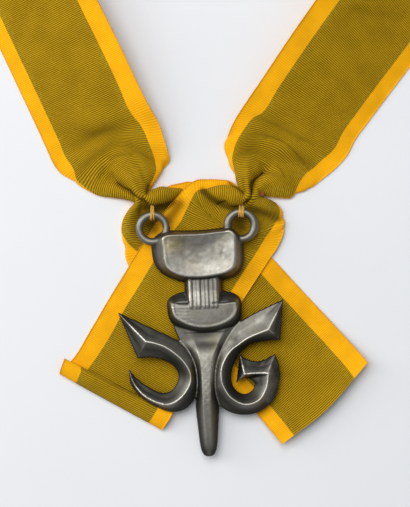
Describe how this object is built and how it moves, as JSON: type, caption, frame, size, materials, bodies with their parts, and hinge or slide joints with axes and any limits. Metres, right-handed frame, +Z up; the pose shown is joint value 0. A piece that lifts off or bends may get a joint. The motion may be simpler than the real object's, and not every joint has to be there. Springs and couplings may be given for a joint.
{
  "type": "ribbon-hung badge of office",
  "caption": "Cast metal badge hung from a gathered neck ribbon by a ring at each shoulder, with two ribbon tails crossing behind it, lying face up.",
  "frame": {"origin": "the middle of the box's base, on the surface that the badge lies on", "axes": "+Z up out of the surface, out of the pendant's face; +Y from the pendant's tip towards the back of the neck loop; +X to the right as the face is seen"},
  "size_m": [0.2354, 0.3666, 0.038],
  "materials": {
    "pewter": "antiqued cast pewter, polished on its raised faces and ridges",
    "ribbon": "ribbed grosgrain, olive gold with yellow borders",
    "thread": "yellow sewing thread"
  },
  "bodies": {
    "root": {"pendant": "pewter", "ribbon_neck_loop": "ribbon", "ribbon_hemmed_tail": "ribbon", "ribbon_cut_tail": "ribbon", "thread_left": "thread", "thread_right": "thread"}
  },
  "joints": []
}
